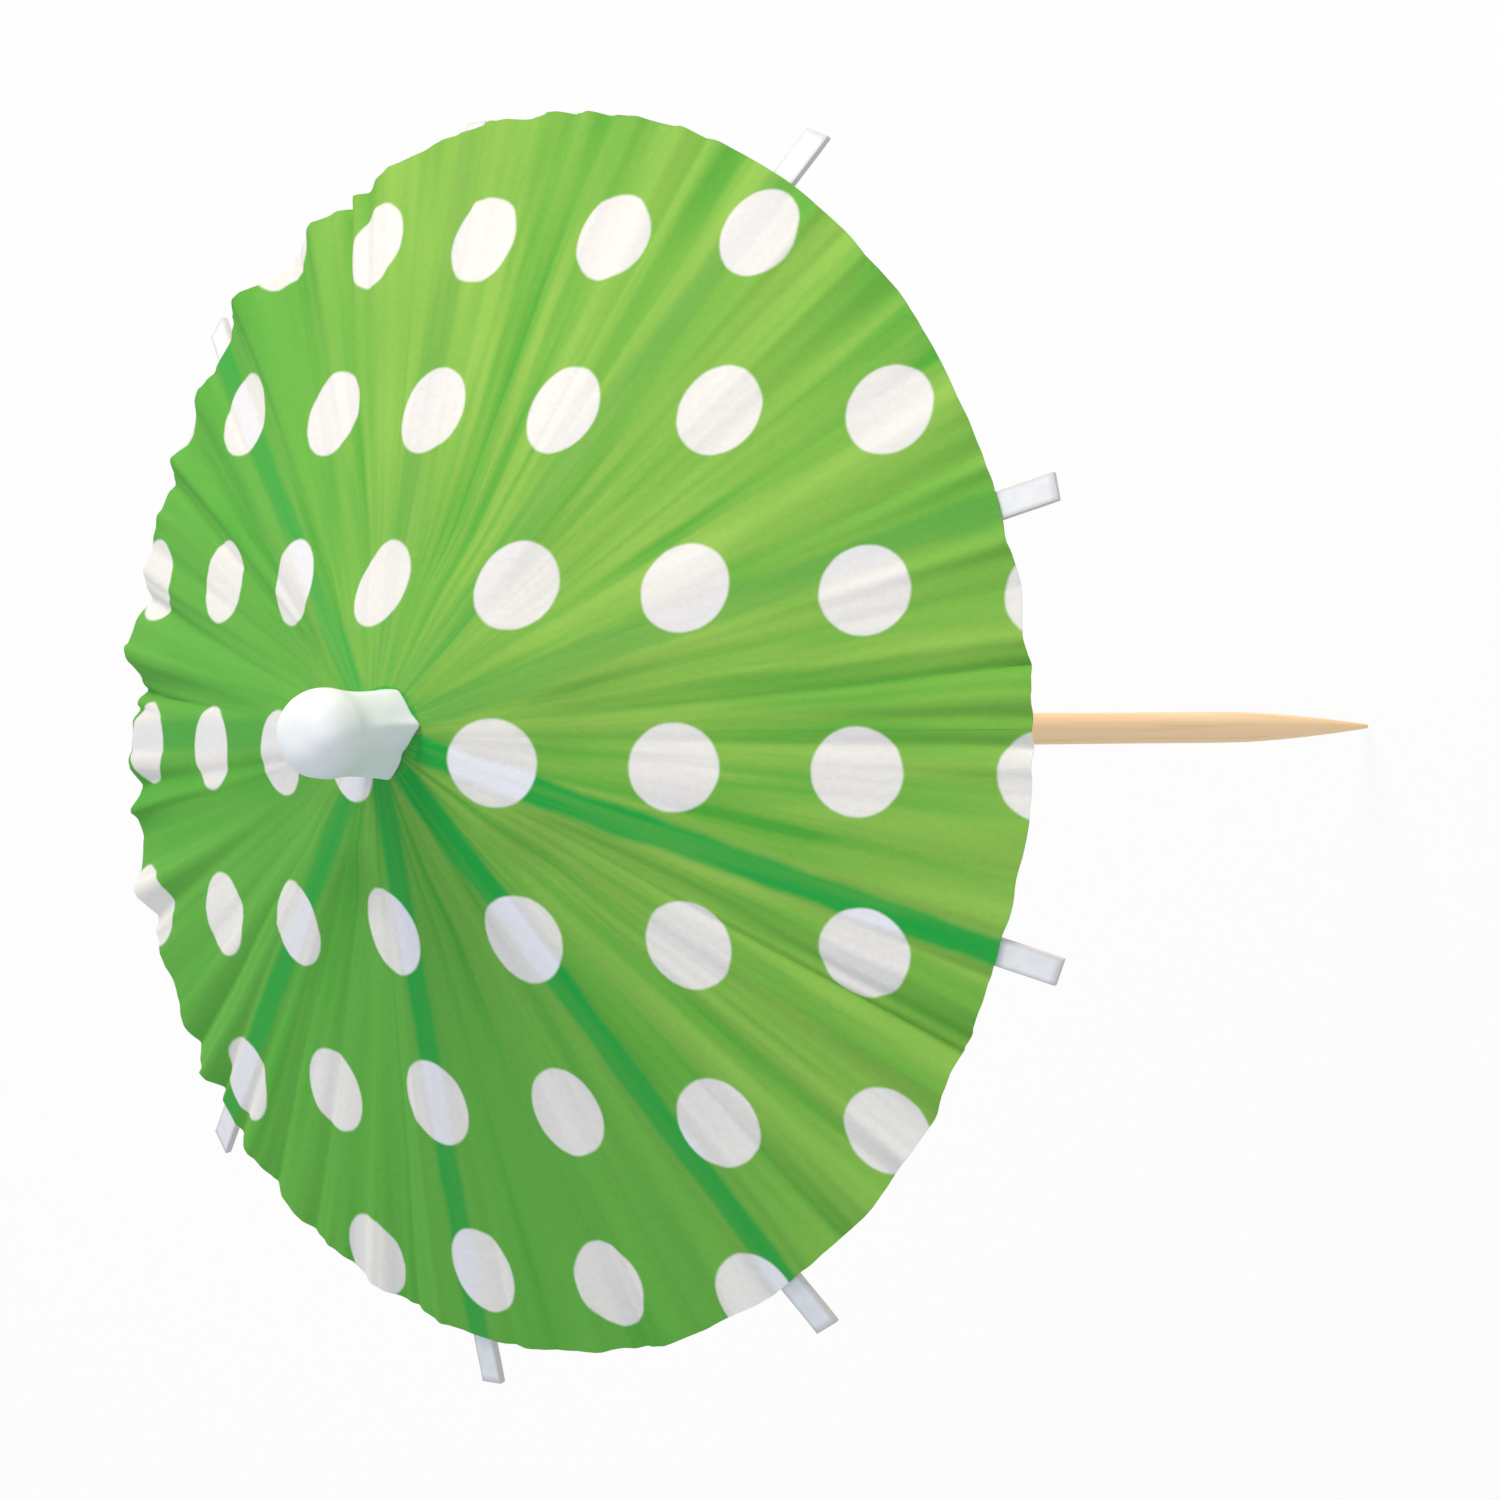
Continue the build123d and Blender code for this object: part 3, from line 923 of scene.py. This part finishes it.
stick_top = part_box("stick")[1].z
stick_outline = [(0.0, 0.0)]
for step in range(33):
    share = step / 32
    belly = 1 - (1 - share) ** BELLY
    radius = POINT_RADIUS + (stick_radius - POINT_RADIUS) * belly
    stick_outline.append((radius, share * TAPER + POINT_HEIGHT))
for step in range(1, 71):
    stick_outline.append((stick_radius, TAPER + step / 70 * (stick_top - TAPER)))
stick_outline.append((0.0, stick_top))
stick = turned("birch_stick", stick_outline, 56, fibred, wood)
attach(stick, "root")
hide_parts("stick")
print("stick:", len(stick.data.vertices), "points")

# %% [markdown]
# ## The cap
# The cap is moulded in one piece: a round head, a slight waist, and a thin skirt that sits on the paper
# with a few uneven corners, one of them sharp and one pressed in. It could be sculpted, but a rule keeps
# the skirt on the cone. The head is nearly an arc, the waist a smooth curve down to the skirt, and the
# corners grow from nothing at the waist to their full reach at the skirt's edge.

# %% The cap's surface
HEAD_RADIUS = 2.55 * MM
HEAD_SQUARENESS = 2.6
SKIRT_RADIUS = 2.44 * MM
SKIRT_EDGE = 0.2 * MM
SKIRT_ROUND = 0.12 * MM
UNDERCUT = math.radians(9)
GATHER_DROP = 0.95 * MM
# Each corner of the skirt: its azimuth in degrees, its reach in mm, and its width in degrees.
CORNERS = (
    (44, 0.42, 19),
    (-10, 0.8, 11),
    (-52, -0.4, 24),
    (-100, 0.45, 17),
    (188, 0.32, 19),
    (115, 0.34, 19),
)
CORNER_ROUND = 0.07
PULLED_IN_MM = 0.06
DENT_MM = 0.07
DENT_LENGTH = 2.5 * MM
CAP_CLEARANCE = 0.03 * MM
OVER_PAPER = 0.12 * MM

cap_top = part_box("top_cap")[1].z
head_height = cap_top - HEAD_RADIUS
skirt_foot = apex - SKIRT_RADIUS * math.tan(slope) + OVER_PAPER
bore = stick_radius + CAP_CLEARANCE
bore_top = stick_top + CAP_CLEARANCE
gather_top = head_height - GATHER_DROP
gather_height = gather_top - skirt_foot


def gathered(radius, height, angle):
    """The cap's surface: cornered at the skirt, dented a little all over."""
    low = min(1.0, max(0.0, (gather_top - height) / gather_height))
    if radius <= bore:
        return radius, height
    flare = 0.0
    for corner, reach, width in CORNERS:
        aside = (angle - math.radians(corner) + math.pi) % (2 * math.pi) - math.pi
        flare += reach * math.exp(-math.hypot(aside, CORNER_ROUND) / math.radians(width))
    push = low * (flare - PULLED_IN_MM)
    spot = Vector((math.cos(angle), math.sin(angle), height / DENT_LENGTH))
    dent = DENT_MM * noise.noise(spot * 1.5)
    out = radius + (push + dent) * MM
    return out, height - (out - radius) * math.tan(slope) * low**2


print("cap:", round((cap_top - skirt_foot) / MM, 2), "mm tall,", len(CORNERS), "corners")

# %% Make the cap
cap_outline = [(0.0, cap_top)]
for step in range(1, 25):
    angle = math.pi / 2 * (1 - step / 24)
    across = math.cos(angle) ** (2 / HEAD_SQUARENESS)
    upward = math.sin(angle) ** (2 / HEAD_SQUARENESS)
    cap_outline.append((HEAD_RADIUS * across, head_height + HEAD_RADIUS * upward))
for step in range(1, 5):
    angle = step / 4 * UNDERCUT
    cap_outline.append((HEAD_RADIUS * math.cos(angle), head_height - HEAD_RADIUS * math.sin(angle)))
head_foot, waist_top = cap_outline[-1]
waist_length = waist_top - skirt_foot - SKIRT_EDGE
waist_pull = head_foot - math.tan(UNDERCUT) * waist_length / 2
for step in range(1, 21):
    share = step / 20
    radius = (1 - share) ** 2 * head_foot + 2 * share * (1 - share) * waist_pull
    radius += share**2 * SKIRT_RADIUS
    cap_outline.append((radius, waist_top - share * waist_length))
cap_outline += [
    (SKIRT_RADIUS, skirt_foot + SKIRT_ROUND),
    (SKIRT_RADIUS - SKIRT_ROUND, skirt_foot),
    (bore, apex - bore * math.tan(slope) + OVER_PAPER),
    (bore, bore_top),
    (0.0, bore_top),
]
cap = turned("moulded_cap", cap_outline, 126, gathered, white_polythene)
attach(cap, "root")
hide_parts("top_cap")
print("cap:", len(cap.data.polygons), "faces")

# %% [markdown]
# ## The runner
# The runner is a strip of waste paper, rolled round the stick a few times and glued. Its ends show the
# roll. A tube would hide that, so a spiral is drawn round the stick, and the paper's own section, thin and
# as tall as the tube, is swept along it.

# %% Make the runner
ROLL_TURNS = 4.6
ROLL_PAPER = 0.115 * MM
ROLL_CLEARANCE = 0.08 * MM
ROLL_EDGE = math.radians(40)


def roll(add, size):
    """A strip of paper, rolled up from an inner to an outer radius."""
    radii = {"Start Radius": size["Inner"], "End Radius": size["Outer"], "Height": 0.0}
    turns = {"Resolution": size["Steps"], "Rotations": size["Turns"]}
    line = add("GeometryNodeCurveSpiral", {**radii, **turns})
    line = add("GeometryNodeSetCurveNormal", {"Curve": line}, mode="Z_UP")
    extent = {"Width": size["Paper"], "Height": size["Length"]}
    section = add("GeometryNodeCurvePrimitiveQuadrilateral", extent)
    swept = add("GeometryNodeCurveToMesh", {"Curve": line, "Profile Curve": section, "Fill Caps": True})
    middle = add(MATH, (size["Length"], 0.5, size["Bottom"]), **TIMES_PLUS)
    middle = add(COMBINE, {"Z": middle})
    return add("GeometryNodeSetPosition", {"Geometry": swept, "Offset": middle})


roll_sizes = {
    "Inner": 1 * MM, "Outer": 2 * MM, "Turns": ROLL_TURNS, "Steps": 64,
    "Paper": ROLL_PAPER, "Bottom": 0.0, "Length": 16 * MM,
}
sleeve_low, sleeve_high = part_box("runner_sleeve")
sleeve = grown(
    "rolled_sleeve",
    new_tree("rolled paper", roll_sizes, roll, waste_paper),
    inner=stick_radius + ROLL_CLEARANCE + ROLL_PAPER / 2,
    outer=sleeve_high.x - ROLL_PAPER / 2,
    bottom=sleeve_low.z,
    length=sleeve_high.z - sleeve_low.z,
)
sleeve.data.shade_smooth()
sleeve.data.set_sharp_from_angle(angle=ROLL_EDGE)
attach(sleeve, "runner")
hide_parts("runner_sleeve")
print("runner:", [round(1000 * side, 2) for side in sleeve.dimensions], "mm")

# %% [markdown]
# ## The retaining ring
# A slice of soft clear tube grips the stick under the runner. Soft tube is cut with a blade, so its edges
# are nearly sharp inside and a little rolled outside. It is turned from a section with rounded corners.

# %% Make the ring
OUTER_ROUND = 0.2 * MM
INNER_ROUND = 0.1 * MM
RING_CLEARANCE = 0.04 * MM
OUT_OF_ROUND = 0.012

ring_low, ring_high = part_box("retaining_ring")
ring_bore = stick_radius + RING_CLEARANCE
ring_outline = []
ring_corners = (
    (OUTER_ROUND, ring_high.x - OUTER_ROUND, ring_high.z - OUTER_ROUND),
    (INNER_ROUND, ring_bore + INNER_ROUND, ring_high.z - INNER_ROUND),
    (INNER_ROUND, ring_bore + INNER_ROUND, ring_low.z + INNER_ROUND),
    (OUTER_ROUND, ring_high.x - OUTER_ROUND, ring_low.z + OUTER_ROUND),
)
for quarter, (arc, middle_radius, middle_height) in enumerate(ring_corners):
    for step in range(7):
        angle = (quarter + step / 6) * math.pi / 2
        ring_outline.append((middle_radius + arc * math.cos(angle), middle_height + arc * math.sin(angle)))


def squeezed(radius, height, angle):
    """The ring's surface, a little out of round."""
    return radius * (1 + OUT_OF_ROUND * math.cos(2 * angle)), height


ring = turned("vinyl_ring", ring_outline, 64, squeezed, clear_vinyl, closed=True)
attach(ring, "retaining_ring")
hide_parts("retaining_ring")
print("ring:", len(ring.data.polygons), "faces")

# %% [markdown]
# ## The floor
# A product shot on white needs a white ground without more light on the object. The floor therefore shows
# plain white to the camera, and to mirrors and glass, while light still falls on it as on paper. It keeps a
# part of its own shading near the object, so a faint shadow is left.

# %% Make the floor
FLOOR_SIDE = 4.0
FLOOR_DROP = 0.2 * MM
FLOOR_WHITE = 0.88
FLOOR_FADE = (0.15, 0.7, FLOOR_WHITE)
PLAIN_WHITE = {"Color": (1.0, 1.0, 1.0, 1.0), "Strength": 1.0}


def seen_ray(add):
    """1 for rays that the camera sees straight, in a mirror or through glass, and 0 for light."""
    path = add("ShaderNodeLightPath").outputs
    seen = path["Is Camera Ray"]
    for ray in ("Is Glossy Ray", "Is Transmission Ray"):
        seen = add(MATH, (seen, path[ray]), operation="MAXIMUM")
    return seen


def paper_floor(add):
    """White background paper."""
    # To the eye: an even white sheet, a shade darker only where the object keeps light from it.
    matt = add("ShaderNodeBsdfDiffuse", {"Color": linear("#E6E6E6")})
    glow = add("ShaderNodeEmission", PLAIN_WHITE)
    place = add(COORDINATES).outputs["Object"]
    far = add(VECTOR, (place,), operation="LENGTH").outputs["Value"]
    share = add(RANGE, (far, *FLOOR_FADE), **SMOOTH)
    share = add(MATH, (seen_ray(add), share), **TIMES)
    return add(MIX_SHADERS, (share, matt, glow))


half = FLOOR_SIDE / 2
floor_corners = [(-half, -half, 0), (half, -half, 0), (half, half, 0), (-half, half, 0)]
floor_mesh = bpy.data.meshes.new("floor")
floor_mesh.from_pydata(floor_corners, [], [(0, 1, 2, 3)])
floor_mesh.materials.append(new_material("white_background_paper", paper_floor))
floor = new_piece("floor", floor_mesh)
floor.location.z = -FLOOR_DROP
print("floor:", FLOOR_SIDE, "m wide")

# %% [markdown]
# ## Light
# The object is lit by a soft, slightly warm key from behind and above, and by a slightly cool, even sky.
# The camera sees plain white in place of the sky, as it does on the floor. More lamps would even out the
# light further, and with it the pleats.

# %% Make the light
SKY_COLOUR = "#E9F0F8"
SKY_STRENGTH = 0.84
KEY_COLOUR = "#FFF4E2"
KEY_WATTS = 2.78
KEY_DIRECTION = Vector((0.20, 0.80, 0.566))
KEY_DISTANCE = 0.6
KEY_SIDE = 0.2
KEY_AIM = 10 * MM

world = bpy.data.worlds.new("studio")
scene.world = world
world.use_nodes = True
world.node_tree.nodes.clear()
add_sky = partial(node, world.node_tree)
sky = add_sky("ShaderNodeBackground", {"Color": linear(SKY_COLOUR), "Strength": SKY_STRENGTH})
white = add_sky("ShaderNodeBackground", PLAIN_WHITE)
shown = add_sky(MIX_SHADERS, (seen_ray(add_sky), sky, white))
add_sky("ShaderNodeOutputWorld", {"Surface": shown})

key = new_piece("key", bpy.data.lights.new("key", "AREA"))
key.data.size = KEY_SIDE
key.data.energy = KEY_WATTS
key.data.color = linear(KEY_COLOUR)[:3]
key_aim = Vector((0.0, 0.0, apex - KEY_AIM))
key.location = key_aim + KEY_DIRECTION.normalized() * KEY_DISTANCE
key.rotation_euler = KEY_DIRECTION.to_track_quat("Z", "Y").to_euler()
print("light: a key of", KEY_WATTS, "W at", KEY_DISTANCE, "m, and a sky of", SKY_STRENGTH)

# %% [markdown]
# ## Camera
# The camera stands where the photographer stood, above the canopy and turned on its side, so the stick
# runs across the picture. A camera that is built from its eye, its aim and its own up direction says that
# more plainly than three angles do.

# %% Make the camera
EYE_MM = Vector((246.8, -89.6, 354.0))
AIM_MM = Vector((6.35, -3.5, 69.9))
PICTURE_UP = Vector((0.3445, 0.9387, -0.0071))
LENS_MM = 156.9
SENSOR_MM = 36.0

back = (EYE_MM - AIM_MM).normalized()
right = PICTURE_UP.cross(back).normalized()
up = back.cross(right)
camera = new_piece("camera", bpy.data.cameras.new("camera"))
camera.matrix_world = Matrix.Translation(EYE_MM * MM) @ Matrix((right, up, back)).transposed().to_4x4()
camera.data.lens = LENS_MM
camera.data.sensor_width = SENSOR_MM
camera.data.clip_start = 0.01
scene.camera = camera
scene.view_settings.view_transform = "Standard"
print("camera:", round((EYE_MM - AIM_MM).length), "mm from the canopy")
